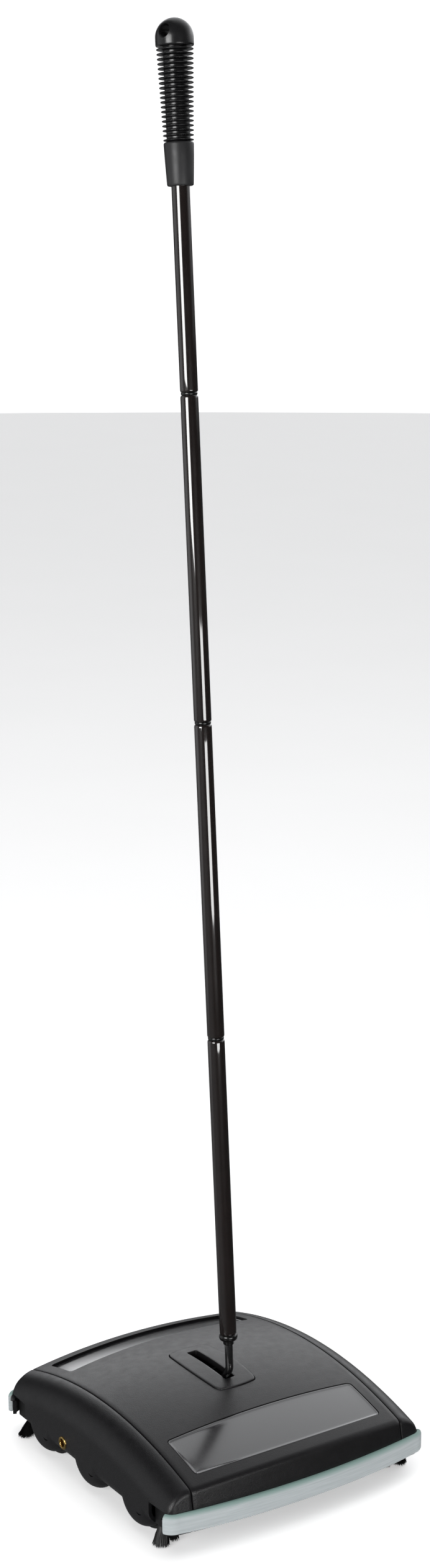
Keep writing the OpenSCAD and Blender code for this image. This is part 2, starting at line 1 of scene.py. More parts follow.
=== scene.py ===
"""Looks of a push-along floor sweeper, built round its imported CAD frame.

Lengths inside the builders are in millimetres; finished meshes are in metres.
"""
import math
import random

import bmesh
import bpy
from mathutils import Matrix, Vector


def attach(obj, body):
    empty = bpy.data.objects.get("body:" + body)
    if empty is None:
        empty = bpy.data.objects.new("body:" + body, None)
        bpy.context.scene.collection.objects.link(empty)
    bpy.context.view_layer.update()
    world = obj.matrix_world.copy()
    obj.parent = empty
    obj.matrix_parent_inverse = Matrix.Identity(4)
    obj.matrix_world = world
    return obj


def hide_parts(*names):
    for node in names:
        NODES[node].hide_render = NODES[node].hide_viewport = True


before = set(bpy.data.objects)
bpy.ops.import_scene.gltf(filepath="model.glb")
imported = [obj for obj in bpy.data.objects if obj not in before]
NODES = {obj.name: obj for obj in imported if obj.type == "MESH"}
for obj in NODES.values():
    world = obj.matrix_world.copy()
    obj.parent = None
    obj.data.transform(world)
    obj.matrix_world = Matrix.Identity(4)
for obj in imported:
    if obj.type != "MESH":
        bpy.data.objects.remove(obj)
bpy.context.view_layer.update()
MM = 0.001

# ---- Form of the housing, the same as the CAD part's, in millimetres ----
CREST_Z = 74.6
ARCH_R = 363.0
CROWN_R = 731.0
SHOULDER_R = 22.5
SIDE_X = 118.0
SHOULDER_X = SIDE_X - SHOULDER_R
TANGENT_X = SHOULDER_X * CROWN_R / (CROWN_R - SHOULDER_R)
FACE_Y = 127.9
BOW_R = 690.0
FACE_RAKE = 0.19
RIDGE_R = 6.0
CORNER_R = 9.2
CORNER_X = SIDE_X - CORNER_R
SKIRT_Z = 34.7
FOOT_Z = 17.0
AXIS_Z = 26.6
WHEEL_Y = 69.4
CURL_R = 12.2
LOBE_R = 23.9
NOTCH_Y = 92.7
WALL = 2.9
WHEEL_ROWS = (-WHEEL_Y, 0.0, WHEEL_Y)
EYELET_Y = 33
EYELET_Z = 27
EYELET_HOLE_R = 3.95

# ---- Seam between the cover and each end housing: its middle, half its gap, and the rounding ----
SEAM_X = 97.0
SEAM_GAP = 0.32
SEAM_ROUND = 0.75


def crown(x):
    """Height of the crowned top above the axis plane at width x."""
    return CREST_Z - x * x / (2 * CROWN_R)


SHOULDER_Z = crown(TANGENT_X) - SHOULDER_R * math.cos(math.asin(TANGENT_X / CROWN_R))


def top_z(x, y, inset=0.0):
    """Height of the housing's skin, moved in by inset."""
    a = abs(x)
    fall = y * y / (2 * ARCH_R)
    if a <= TANGENT_X - inset * 0.13:
        return crown(x) - inset - fall
    r = SHOULDER_R - inset
    d = min(a - SHOULDER_X, r)
    return SHOULDER_Z + math.sqrt(max(r * r - d * d, 0)) - fall


def face_q(x, inset=0.0):
    """Distance from the middle to the foot of the front face at width x."""
    a = abs(x)
    if a <= CORNER_X:
        return FACE_Y - a * a / (2 * BOW_R) - inset
    cy = FACE_Y - CORNER_X * CORNER_X / (2 * BOW_R) - CORNER_R
    r = CORNER_R - inset
    d = min(a - CORNER_X, r)
    return cy + math.sqrt(max(r * r - d * d, 0))


def ridge_arc(x, inset, steps):
    """Rounded ridge as (distance, height) points, from the face up to the top."""
    q0 = face_q(x, inset)
    q = q0
    for _ in range(4):
        q = q0 - FACE_RAKE * max(top_z(x, q, inset) - SKIRT_Z, 0)
    c = Vector((q, top_z(x, q, inset)))
    u = Vector((q - 1, top_z(x, q - 1, inset))) - c
    v = Vector((FACE_RAKE, -1.0))
    u.normalize()
    v.normalize()
    r = max(RIDGE_R - inset, 1.0)
    half = math.acos(max(-1, min(1, u.dot(v)))) / 2
    mid = (u + v).normalized()
    o = c + mid * (r / math.sin(half))
    reach = r / math.tan(half)
    p1 = c + v * reach - o
    p2 = c + u * reach - o
    out = []
    for k in range(steps + 1):
        w = p1 * (steps - k) + p2 * k
        out.append(o + w * (r / w.length))
    return out


def section_loop(x, inset=0.0, face_rows=8, arc_rows=10, top_rows=84):
    """Skin from the front foot over the top to the rear foot, as (y, z)."""
    arc = ridge_arc(x, inset, arc_rows)
    q = face_q(x, inset)
    start = arc[0]
    knee = min(SKIRT_Z, start.y - 0.5)
    face = []
    for k in range(face_rows):
        f = k / face_rows
        if f < 0.5:
            face.append((q, FOOT_Z + (knee - FOOT_Z) * f * 2))
        else:
            w = (f - 0.5) * 2
            face.append((q + (start.x - q) * w, knee + (start.y - knee) * w))
    side = face + [(p.x, p.y) for p in arc]
    end = arc[-1].x
    over = []
    for k in range(1, top_rows):
        y = end * (2 * k / top_rows - 1)
        over.append((y, top_z(x, y, inset)))
    front = [(-a, b) for a, b in side]
    rear = [(a, b) for a, b in reversed(side)]
    return front + over + rear


# ---- Mesh helpers ----
def add_object(name, verts, faces, smooth_angle=35.0):
    """A new object from points in millimetres, with outward normals and smooth shading."""
    mesh = bpy.data.meshes.new(name)
    mesh.from_pydata([(v[0] * MM, v[1] * MM, v[2] * MM) for v in verts], [], faces)
    mesh.validate()
    obj = bpy.data.objects.new(name, mesh)
    bpy.context.scene.collection.objects.link(obj)
    bm = bmesh.new()
    bm.from_mesh(mesh)
    bmesh.ops.remove_doubles(bm, verts=bm.verts, dist=1e-6)
    bmesh.ops.recalc_face_normals(bm, faces=bm.faces)
    bm.to_mesh(mesh)
    bm.free()
    shade(obj, smooth_angle)
    return obj


def face_up(obj):
    """Turns an open shell's faces so that its highest face looks up."""
    mesh = obj.data
    top = max(mesh.polygons, key=lambda f: f.center.z)
    if top.normal.z < 0:
        mesh.flip_normals()
    mesh.update()


def clear_box(obj, lo, hi):
    """Takes the part of an open shell inside a box away, before it gets its thickness."""
    bm = bmesh.new()
    bm.from_mesh(obj.data)
    for axis in range(3):
        for level in (lo[axis], hi[axis]):
            plane = [0.0, 0.0, 0.0]
            normal = [0.0, 0.0, 0.0]
            plane[axis] = level * MM
            normal[axis] = 1.0
            near = [g for g in bm.faces if touches(g, lo, hi)]
            edges = {e for f in near for e in f.edges}
            points = {v for f in near for v in f.verts}
            geom = near + list(edges) + list(points)
            bmesh.ops.bisect_plane(bm, geom=geom, dist=1e-7, plane_co=plane, plane_no=normal)
    inside = [
        f for f in bm.faces
        if all(lo[k] * MM < f.calc_center_median()[k] < hi[k] * MM for k in range(3))
    ]
    bmesh.ops.delete(bm, geom=inside, context="FACES")
    bm.to_mesh(obj.data)
    bm.free()


def touches(face, lo, hi):
    """Whether a face's own box meets a box given in millimetres."""
    for k in range(3):
        values = [v.co[k] for v in face.verts]
        if max(values) < lo[k] * MM - 1e-7 or min(values) > hi[k] * MM + 1e-7:
            return False
    return True


def shade(obj, angle):
    """Smooth shading, with edges sharper than angle degrees kept sharp."""
    mesh = obj.data
    mesh.polygons.foreach_set("use_smooth", [True] * len(mesh.polygons))
    mesh.set_sharp_from_angle(angle=math.radians(angle))
    mesh.update()


def apply_modifiers(obj, angle=35.0):
    """Turns an object's modifiers into its mesh."""
    bpy.context.view_layer.update()
    deps = bpy.context.evaluated_depsgraph_get()
    mesh = bpy.data.meshes.new_from_object(obj.evaluated_get(deps))
    old = obj.data
    obj.modifiers.clear()
    obj.data = mesh
    mesh.name = obj.name
    bpy.data.meshes.remove(old)
    shade(obj, angle)


def cut(obj, cutters, angle=35.0):
    """Takes the cutters out of obj, and removes them."""
    for c in cutters:
        mod = obj.modifiers.new("cut", "BOOLEAN")
        mod.operation = "DIFFERENCE"
        mod.solver = "EXACT"
        mod.object = c
    apply_modifiers(obj, angle)
    for c in cutters:
        bpy.data.objects.remove(c)


def bevel(obj, width, segments=2, angle=40.0):
    """Rounds an object's sharp edges."""
    mod = obj.modifiers.new("bevel", "BEVEL")
    mod.width = width * MM
    mod.segments = segments
    mod.limit_method = "ANGLE"
    mod.angle_limit = math.radians(angle)
    mod.harden_normals = False
    return mod


def ring_faces(count, rings, closed=True, start=0):
    """Quads between rings of count points each."""
    faces = []
    last = count if closed else count - 1
    for i in range(rings - 1):
        for j in range(last):
            a = start + i * count + j
            b = start + i * count + (j + 1) % count
            faces.append((a, b, b + count, a + count))
    return faces


def prism(name, outline, z0, z1):
    """Upright prism on a closed outline of (x, y) points."""
    n = len(outline)
    verts = [(x, y, z0) for x, y in outline] + [(x, y, z1) for x, y in outline]
    faces = ring_faces(n, 2) + [tuple(range(n)), tuple(range(n, 2 * n))]
    return add_object(name, verts, faces)


def lathe(name, profile, place, segments=72, angle=35.0, closed=True):
    """Turned piece: profile is (radius, distance) points, place maps (u, v, s) to a point."""
    verts = []
    for r, s in profile:
        for k in range(segments):
            a = 2 * math.pi * k / segments
            verts.append(place(r * math.cos(a), r * math.sin(a), s))
    faces = ring_faces(segments, len(profile))
    if closed:
        n = (len(profile) - 1) * segments
        for j in range(segments):
            faces.append((n + j, n + (j + 1) % segments, (j + 1) % segments, j))
    return add_object(name, verts, faces, angle)


def along_x(y, z, side=1):
    """Place for a turned piece whose axis runs out along X."""
    return lambda u, v, s: (side * s, y + u, z + v)


LEAN = math.radians(4.15)
FOOT = Vector((0.0, -23.8, 105.4))
UP = Vector((0.0, math.sin(LEAN), math.cos(LEAN)))
FRONT = Vector((0.0, math.cos(LEAN), -math.sin(LEAN)))


def along_handle(u, v, s):
    """Place for a turned piece on the handle; s runs up from its foot."""
    p = FOOT + UP * s + Vector((u, 0, 0)) + FRONT * v
    return (p.x, p.y, p.z)


def fillet_path(points, radii, steps=8):
    """Polyline with its inner corners rounded."""
    out = [Vector(points[0])]
    for i in range(1, len(points) - 1):
        p = Vector(points[i])
        a = (Vector(points[i - 1]) - p).normalized()
        b = (Vector(points[i + 1]) - p).normalized()
        half = math.acos(max(-1, min(1, a.dot(b)))) / 2
        reach = radii[i] / math.tan(half)
        o = p + (a + b).normalized() * (radii[i] / math.sin(half))
        s, e = p + a * reach - o, p + b * reach - o
        for k in range(steps + 1):
            w = s * (steps - k) + e * k
            out.append(o + w * (radii[i] / w.length))
    out.append(Vector(points[-1]))
    return out


def tube_geometry(path, radius, segments=24, cap=1.0):
    """Points and faces of a round rod along a path, its ends chamfered by cap."""
    rings = []
    tangent = (path[1] - path[0]).normalized()
    side = tangent.orthogonal().normalized()
    n = len(path)
    for i, p in enumerate(path):
        if 0 < i < n - 1:
            t = (path[i + 1] - path[i - 1]).normalized()
        else:
            t = (path[1] - path[0] if i == 0 else path[-1] - path[-2]).normalized()
        side = (side - t * side.dot(t)).normalized()
        other = t.cross(side)
        steps = [(0.0, radius)]
        if i == 0 and cap:
            steps = [(0.0, radius - cap), (cap, radius)]
        if i == n - 1 and cap:
            steps = [(-cap, radius), (0.0, radius - cap)]
        for d, r in steps:
            rings.append([
                p + t * d + (side * math.cos(a) + other * math.sin(a)) * r
                for a in (2 * math.pi * k / segments for k in range(segments))
            ])
    verts = [tuple(v) for ring in rings for v in ring]
    faces = ring_faces(segments, len(rings))
    last = (len(rings) - 1) * segments
    faces.append(tuple(range(segments)))
    faces.append(tuple(range(last, last + segments)))
    return verts, faces


def join_geometry(parts):
    """One list of points and faces from several."""
    verts, faces = [], []
    for v, f in parts:
        n = len(verts)
        verts.extend(v)
        faces.extend(tuple(i + n for i in face) for face in f)
    return verts, faces


def mirror_points(verts, sx=1, sy=1):
    """Points mirrored or turned across the middle."""
    return [(v[0] * sx, v[1] * sy, v[2]) for v in verts]


# ---- Materials ----
def new_material(name):
    """An empty node material with its shader and output."""
    mat = bpy.data.materials.new(name)
    mat.use_nodes = True
    tree = mat.node_tree
    tree.nodes.clear()
    out = tree.nodes.new("ShaderNodeOutputMaterial")
    bsdf = tree.nodes.new("ShaderNodeBsdfPrincipled")
    tree.links.new(bsdf.outputs["BSDF"], out.inputs["Surface"])
    return mat, tree, bsdf


def coords(tree, stretch=(1, 1, 1)):
    """Object coordinates, stretched."""
    tex = tree.nodes.new("ShaderNodeTexCoord")
    mapping = tree.nodes.new("ShaderNodeMapping")
    mapping.inputs["Scale"].default_value = stretch
    tree.links.new(tex.outputs["Object"], mapping.inputs["Vector"])
    return mapping.outputs["Vector"]


def noise(tree, vector, scale, detail=3.0, rough=0.55):
    """Noise texture's value."""
    node = tree.nodes.new("ShaderNodeTexNoise")
    node.inputs["Scale"].default_value = scale
    node.inputs["Detail"].default_value = detail
    node.inputs["Roughness"].default_value = rough
    tree.links.new(vector, node.inputs["Vector"])
    return node.outputs["Fac"]


def ramp(tree, value, stops):
    """Colour ramp on a value; stops are (place, colour)."""
    node = tree.nodes.new("ShaderNodeValToRGB")
    elements = node.color_ramp.elements
    while len(elements) < len(stops):
        elements.new(0.5)
    for e, (place, colour) in zip(elements, stops):
        e.position = place
        e.color = (*colour, 1.0)
    tree.links.new(value, node.inputs["Fac"])
    return node.outputs["Color"]


def spread(tree, value, low, high):
    """Maps the middle of a noise to the range low..high."""
    node = tree.nodes.new("ShaderNodeMapRange")
    node.inputs["From Min"].default_value = 0.3
    node.inputs["From Max"].default_value = 0.7
    node.inputs["To Min"].default_value = low
    node.inputs["To Max"].default_value = high
    tree.links.new(value, node.inputs["Value"])
    return node.outputs["Result"]


def bump(tree, height, strength, distance, normal=None):
    """Bump from a height; distance is in metres."""
    node = tree.nodes.new("ShaderNodeBump")
    node.inputs["Strength"].default_value = strength
    node.inputs["Distance"].default_value = distance
    tree.links.new(height, node.inputs["Height"])
    if normal is not None:
        tree.links.new(normal, node.inputs["Normal"])
    return node.outputs["Normal"]


def tint(colour, k):
    """A colour made lighter or darker."""
    return tuple(min(c * k, 1.0) for c in colour)


def surface(
    name, colour, rough, vary=0.15, rough_vary=0.05, grain=1500.0, depth=0.25,
    grain_size=0.00006, metal=0.0, coat=0.0, coat_rough=0.08, spec=0.5, stretch=(1, 1, 1),
    patch=30.0, clear=0.0, ior=1.5, coat_ior=1.5,
):
    """A finish with colour patches, uneven gloss and a fine grain."""
    mat, tree, bsdf = new_material(name)
    vec = coords(tree, stretch)
    base = ramp(tree, noise(tree, vec, patch, 4.0), [
        (0.3, tint(colour, 1 - vary)), (0.7, tint(colour, 1 + vary)),
    ])
    tree.links.new(base, bsdf.inputs["Base Color"])
    gloss = spread(tree, noise(tree, vec, patch * 5, 3.0), rough - rough_vary, rough + rough_vary)
    tree.links.new(gloss, bsdf.inputs["Roughness"])
    fine = bump(tree, noise(tree, vec, grain, 2.0, 0.6), depth, grain_size)
    tree.links.new(fine, bsdf.inputs["Normal"])
    bsdf.inputs["Metallic"].default_value = metal
    bsdf.inputs["Specular IOR Level"].default_value = spec
    bsdf.inputs["IOR"].default_value = ior
    bsdf.inputs["Coat Weight"].default_value = coat
    bsdf.inputs["Coat Roughness"].default_value = coat_rough
    bsdf.inputs["Coat IOR"].default_value = coat_ior
    bsdf.inputs["Transmission Weight"].default_value = clear
    return mat


def galvanised(name):
    """Zinc-coated sheet with a crystal spangle."""
    mat, tree, bsdf = new_material(name)
    vec = coords(tree)
    cells = tree.nodes.new("ShaderNodeTexVoronoi")
    cells.inputs["Scale"].default_value = 220.0
    tree.links.new(vec, cells.inputs["Vector"])
    sep = tree.nodes.new("ShaderNodeSeparateColor")
    tree.links.new(cells.outputs["Color"], sep.inputs["Color"])
    tree.links.new(ramp(tree, sep.outputs["Red"], [
        (0.0, (0.40, 0.41, 0.42)), (1.0, (0.52, 0.53, 0.54)),
    ]), bsdf.inputs["Base Color"])
    gloss = tree.nodes.new("ShaderNodeMapRange")
    gloss.inputs["To Min"].default_value = 0.28
    gloss.inputs["To Max"].default_value = 0.5
    tree.links.new(sep.outputs["Green"], gloss.inputs["Value"])
    tree.links.new(gloss.outputs["Result"], bsdf.inputs["Roughness"])
    tree.links.new(bump(tree, noise(tree, vec, 300.0), 0.2, 0.00005), bsdf.inputs["Normal"])
    bsdf.inputs["Metallic"].default_value = 0.9
    return mat


def vinyl(name):
    """Light grey bumper vinyl: faint streaks along it and a greener top edge."""
    mat, tree, bsdf = new_material(name)
    streak = noise(tree, coords(tree, (6, 6, 160)), 6.0, 5.0, 0.6)
    base = ramp(tree, streak, [(0.3, (0.35, 0.385, 0.395)), (0.7, (0.44, 0.475, 0.485))])
    tex = tree.nodes.new("ShaderNodeTexCoord")
    sep = tree.nodes.new("ShaderNodeSeparateXYZ")
    tree.links.new(tex.outputs["Object"], sep.inputs["Vector"])
    # The greener band runs from 31.5 to 34.5 mm above the floor
    edge = tree.nodes.new("ShaderNodeMapRange")
    edge.inputs["From Min"].default_value = 0.0315
    edge.inputs["From Max"].default_value = 0.0345
    tree.links.new(sep.outputs["Z"], edge.inputs["Value"])
    mix = tree.nodes.new("ShaderNodeMix")
    mix.data_type = "RGBA"
    tree.links.new(edge.outputs["Result"], mix.inputs["Factor"])
    tree.links.new(base, mix.inputs["A"])
    mix.inputs["B"].default_value = (0.20, 0.30, 0.275, 1.0)
    tree.links.new(mix.outputs["Result"], bsdf.inputs["Base Color"])
    tree.links.new(spread(tree, noise(tree, coords(tree), 60.0), 0.42, 0.55), bsdf.inputs["Roughness"])
    tree.links.new(bump(tree, noise(tree, coords(tree), 900.0), 0.15, 0.00006), bsdf.inputs["Normal"])
    bsdf.inputs["Specular IOR Level"].default_value = 0.45
    bsdf.inputs["Subsurface Weight"].default_value = 0.06
    bsdf.inputs["Subsurface Radius"].default_value = (0.003, 0.003, 0.003)
    return mat


MAT = {
    "cover_plastic": surface(
        "cover_plastic", (0.0070, 0.0066, 0.0073), 0.36, 0.10, 0.04, 1300.0, 0.6, 0.00022, spec=0.5),
    "end_plastic": surface(
        "end_plastic", (0.0070, 0.0068, 0.0076), 0.38, 0.12, 0.05, 1300.0, 0.6, 0.00022, spec=0.5),
    "window_plastic": surface(
        "window_plastic", (0.014, 0.014, 0.016), 0.20, 0.06, 0.03, 700.0, 0.05, 0.00004,
        clear=0.5, ior=1.49, spec=0.5, coat=1.0, coat_rough=0.16, coat_ior=1.9),
    "bumper_vinyl": vinyl("bumper_vinyl"),
    "block_plastic": surface("block_plastic", (0.006, 0.006, 0.0065), 0.48, 0.2, grain=900.0),
    "bristle_nylon": surface(
        "bristle_nylon", (0.004, 0.004, 0.004), 0.36, 0.3, 0.08, stretch=(1, 1, 0.1), patch=400.0),
    "wheel_plastic": surface("wheel_plastic", (0.010, 0.010, 0.010), 0.45, 0.2, grain=1100.0),
    "tyre_rubber": surface("tyre_rubber", (0.011, 0.011, 0.011), 0.72, 0.3, 0.1, 600.0, 0.5, 0.0002),
    "plate_steel": surface(
        "plate_steel", (0.42, 0.42, 0.43), 0.36, 0.12, 0.08, 900.0, 0.15, metal=1.0, stretch=(1, 1, 14)),
    "pin_steel": surface(
        "pin_steel", (0.50, 0.50, 0.51), 0.28, 0.12, 0.08, 1200.0, 0.12, metal=1.0, stretch=(14, 1, 1)),
    "spring_steel": surface("spring_steel", (0.33, 0.33, 0.34), 0.34, 0.2, metal=1.0),
    "brass": surface("brass", (0.62, 0.43, 0.15), 0.24, 0.18, 0.08, 800.0, 0.15, metal=1.0, patch=90.0),
    "pan_steel": galvanised("pan_steel"),
    "blade_rubber": surface("blade_rubber", (0.010, 0.010, 0.010), 0.66, 0.3, 0.1, 700.0, 0.4, 0.00015),
    "roller_rubber": surface("roller_rubber", (0.026, 0.025, 0.025), 0.7, 0.3, 0.1, 700.0, 0.5, 0.0002),
    "rod_steel": surface(
        "rod_steel", (0.004, 0.004, 0.0042), 0.22, 0.2, 0.05, 500.0, 0.03, 0.00003,
        coat=1.0, coat_rough=0.04, coat_ior=2.2, spec=0.15),
    "tube_paint": surface(
        "tube_paint", (0.0082, 0.0052, 0.0045), 0.30, 0.18, 0.05, 380.0, 0.02, 0.00003, coat=1.0,
        coat_rough=0.04, coat_ior=1.95, spec=0.15),
    "joint_plastic": surface(
        "joint_plastic", (0.004, 0.004, 0.004), 0.30, 0.2, grain=800.0, depth=0.05,
        coat=0.8, coat_rough=0.06, spec=0.3),
    "collar_plastic": surface("collar_plastic", (0.019, 0.019, 0.020), 0.42, 0.2, grain=900.0, depth=0.35),
    "grip_plastic": surface(
        "grip_plastic", (0.0065, 0.0065, 0.007), 0.30, 0.2, 0.06, 700.0, 0.15, 0.00005, coat=0.25,
        coat_rough=0.15),
}


def finish_piece(obj, slot, body, *nodes):
    """Gives a piece its finish and body, and hides the CAD nodes it stands for."""
    obj.data.materials.clear()
    obj.data.materials.append(MAT[slot])
    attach(obj, body)
    if nodes:
        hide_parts(*nodes)
    return obj


# ---- Housing ----
def seam_stations(first, last, count):
    """Widths across a moulding with its seam edge rounded, as (width, inset)."""
    start = first + SEAM_ROUND
    near = [(first, SEAM_ROUND), (first + 0.22, 0.22), (start, 0.0)]
    return near + [(start + (last - start) * k / count, 0.0) for k in range(1, count + 1)]


def rounded_rect(hx, hy, r, side_steps, corner_steps=8):
    """Centred rounded rectangle with many points along its sides."""
    out = []
    corners = [(hx - r, hy - r, 0), (-hx + r, hy - r, 90), (-hx + r, -hy + r, 180), (hx - r, -hy + r, 270)]
    for i, (cx, cy, a0) in enumerate(corners):
        arc = []
        for k in range(corner_steps + 1):
            a = math.radians(a0 + 90 * k / corner_steps)
            arc.append((cx + r * math.cos(a), cy + r * math.sin(a)))
        out.extend(arc)
        nx, ny, na = corners[(i + 1) % 4]
        b = (nx + r * math.cos(math.radians(na)), ny + r * math.sin(math.radians(na)))
        n = side_steps[i % 2]
        for k in range(1, n):
            f = k / n
            out.append((arc[-1][0] + (b[0] - arc[-1][0]) * f, arc[-1][1] + (b[1] - arc[-1][1]) * f))
    return out


# Window outlines: half width, inner and outer edge at the corners, bow of each edge, side
WINDOWS = {
    "front_window": (86.0, 67.5, 107.5, 0.5, 5.5, -1),
    "rear_window": (86.0, 73.5, 106.0, 5.5, 4.0, 1),
}


def window_outline(spec, grow, r=3.2):
    """Outline of a window in plan, grown outwards by grow."""
    hx, q0, q1, bow0, bow1, side = spec
    half = (q1 - q0) / 2
    pts = rounded_rect(hx + grow, half + grow, max(r + grow, 0.3), (60, 24))
    out = []
    for x, v in pts:
        w = 1 - (x / hx) ** 2
        f = (v + half) / (2 * half)
        a = q0 + bow0 * w
        b = q1 + bow1 * w
        out.append((x, side * (a + (b - a) * f)))
    return out


def plate_outline():
    """Bowed outline of the plate round the handle slot."""
    out = []
    for x, y in rounded_rect(1.0, 1.0, 0.16, (30, 30)):
        out.append((x * (18.0 + 2.5 * (1 - y * y)), y * (36.0 + 2.5 * (1 - x * x))))
    return out


def make_cover():
    """Centre cover with its openings."""
    half = seam_stations(SEAM_GAP - SEAM_X, 0.0, 30)
    stations = half + [(-x, t) for x, t in reversed(half[:-1])]
    verts = []
    for x, t in stations:
        outer = section_loop(x, t)
        inner = section_loop(x, WALL)
        ring = outer + inner[::-1]
        verts.extend((x, y, z) for y, z in ring)
    count = len(verts) // len(stations)
    faces = ring_faces(count, len(stations))
    for base in (0, (len(stations) - 1) * count):
        for j in range(count // 2 - 1):
            faces.append((base + j, base + j + 1, base + count - 2 - j, base + count - 1 - j))
    obj = add_object("centre_cover", verts, faces)
    cutters = [prism("c", window_outline(spec, 0.35), 30, 90) for spec in WINDOWS.values()]
    cutters.append(prism("c", [(x * 1.03, y * 1.017) for x, y in plate_outline()], 40, 90))
    cut(obj, cutters)
    bevel(obj, 0.35, 2, 50)
    return obj


def make_window(name):
    """Smoke pane, a little sunk, with a rounded rim."""
    spec = WINDOWS[name]
    sink = -0.35 if name == "front_window" else -2.0
    rings = []
    rim = ((0.0, 0.9), (0.04, 0.4), (0.3, 0.08), (0.7, 0.0), (1.1, 0.04), (1.6, 0.3), (3.0, 0.4))
    for inset, drop in rim:
        rings.append([(x, y, top_z(x, y) + sink - drop) for x, y in window_outline(spec, -inset)])
    edge = window_outline(spec, -3.0)
    hx, q0, q1, bow0, bow1, side = spec
    for k in range(1, 9):
        f = 1 - k / 8
        ring = []
        for x, y in edge:
            w = 1 - (x / hx) ** 2
            mid = side * ((q0 + q1) / 2 + (bow0 + bow1) / 2 * w)
            px = x * (0.5 + 0.5 * f) if f > 0 else x * 0.5
            py = mid + (y - mid) * f
            ring.append((px, py, top_z(px, py) + sink - 0.4))
        rings.append(ring)
    under = [[(x, y, top_z(x, y) - 2.9) for x, y in window_outline(spec, -d)] for d in (0.0, 2.0)]
    order = [under[1], under[0]] + rings
    n = len(edge)
    verts = [p for ring in order for p in ring]
    faces = ring_faces(n, len(order))
    faces.append(tuple(range(n)))
    obj = add_object(name + "_pane", verts, faces)
    return finish_piece(obj, "window_plastic", "housing", name)


def side_reach(y, z):
    """Width of the side wall's outer face, curling in at its lower edge."""
    d = z - (AXIS_Z - CURL_R)
    for cy in WHEEL_ROWS:
        d = max(d, LOBE_R - math.hypot(y - cy, z - AXIS_Z))
    d = max(0.0, min(d, CURL_R))
    return SIDE_X - CURL_R + math.sqrt(max(CURL_R ** 2 - (CURL_R - d) ** 2, 0.0))


def side_foot(y):
    """Height of the side wall's lower edge."""
    low = AXIS_Z - CURL_R
    for cy in WHEEL_ROWS:
        d = abs(y - cy)
        if d < LOBE_R:
            low = min(low, AXIS_Z - math.sqrt(LOBE_R ** 2 - d * d))
    return low


def crescent(side, y, z):
    """Cutter for the short curved slit under each lobe's hub."""
    outline = []
    for edge in (1, -1):
        for k in range(9):
            f = (k - 4) / 4 * edge
            outline.append((y + f * 3.2, z - 0.9 * (1 - f * f) + edge * (0.1 + 0.5 * (1 - f * f))))
    verts = [(side * x, u, v) for x in (112.0, 122.0) for u, v in outline]
    n = len(outline)
    faces = ring_faces(n, 2) + [tuple(range(n)), tuple(range(n, 2 * n))]
    return add_object("c", verts, faces)


def make_end(side):
    """End housing; side is 1 on the right and -1 on the left."""
    face_rows, arc_rows, top_rows = 24, 8, 200
    foot = SEAM_X + SEAM_GAP
    stations = [(foot, SEAM_ROUND), (foot + 0.22, 0.22), (foot + 0.68, 0.0)]
    for k in range(1, 21):
        a = math.radians(7.8 + (90 - 7.8) * k / 20)
        stations.append((SHOULDER_X + SHOULDER_R * math.sin(a), 0.0))
    verts = []
    for x, t in stations:
        verts.extend((x, y, z) for y, z in section_loop(x, t, face_rows, arc_rows, top_rows))
    count = len(verts) // len(stations)
    faces = ring_faces(count, len(stations), closed=False)
    edge = (len(stations) - 1) * count
    top = verts[edge:]
    rows = 24
    straight = 0.45
    first, last = face_rows, count - face_rows - 1
    base = len(verts)
    for j in range(first, last + 1):
        _, y, z1 = top[j]
        z0 = side_foot(y)
        for k in range(1, rows + 1):
            f = k / rows
            if j == first:
                z = top[face_rows - k][2]
            elif j == last:
                z = top[last + k][2]
            else:
                curl = min(CURL_R, (z1 - z0) * 0.7)
                if f <= straight:
                    z = z1 + (z0 + curl - z1) * f / straight
                else:
                    bend = math.pi / 2 * (f - straight) / (1 - straight)
                    z = z0 + curl * (1 - math.sin(bend))
            verts.append((side_reach(y, z) if first < j < last else SIDE_X, y, z))

    def index(col, row):
        return edge + col if row == 0 else base + (col - first) * rows + row - 1

    for j in range(first, last):
        for k in range(rows):
            faces.append((index(j, k), index(j + 1, k), index(j + 1, k + 1), index(j, k + 1)))
    verts = [(x * side, y * side, z) for x, y, z in verts]
    name = "right_end" if side > 0 else "left_end"
    obj = add_object(name, verts, faces)
    xs = sorted((side * 90.0, side * 130.0))
    for sy in (-1, 1):
        ys = sorted((sy * NOTCH_Y, sy * 113.2))
        clear_box(obj, (xs[0], ys[0], -5), (xs[1], ys[1], SKIRT_Z))
    face_up(obj)
    mod = obj.modifiers.new("wall", "SOLIDIFY")
    mod.thickness = WALL * MM
    mod.offset = -1
    apply_modifiers(obj)
    drill = [(0.01, 108), (EYELET_HOLE_R, 108), (EYELET_HOLE_R, 130), (0.01, 130)]
    cutters = [lathe("c", drill, along_x(-EYELET_Y * side, EYELET_Z, side), 32)]
    for cy in WHEEL_ROWS:
        cutters.append(crescent(side, side * (cy + 9.0), 18.6))
    cut(obj, cutters)
    bevel(obj, 0.3, 2, 50)
    return finish_piece(obj, "end_plastic", "housing", name + "_housing")


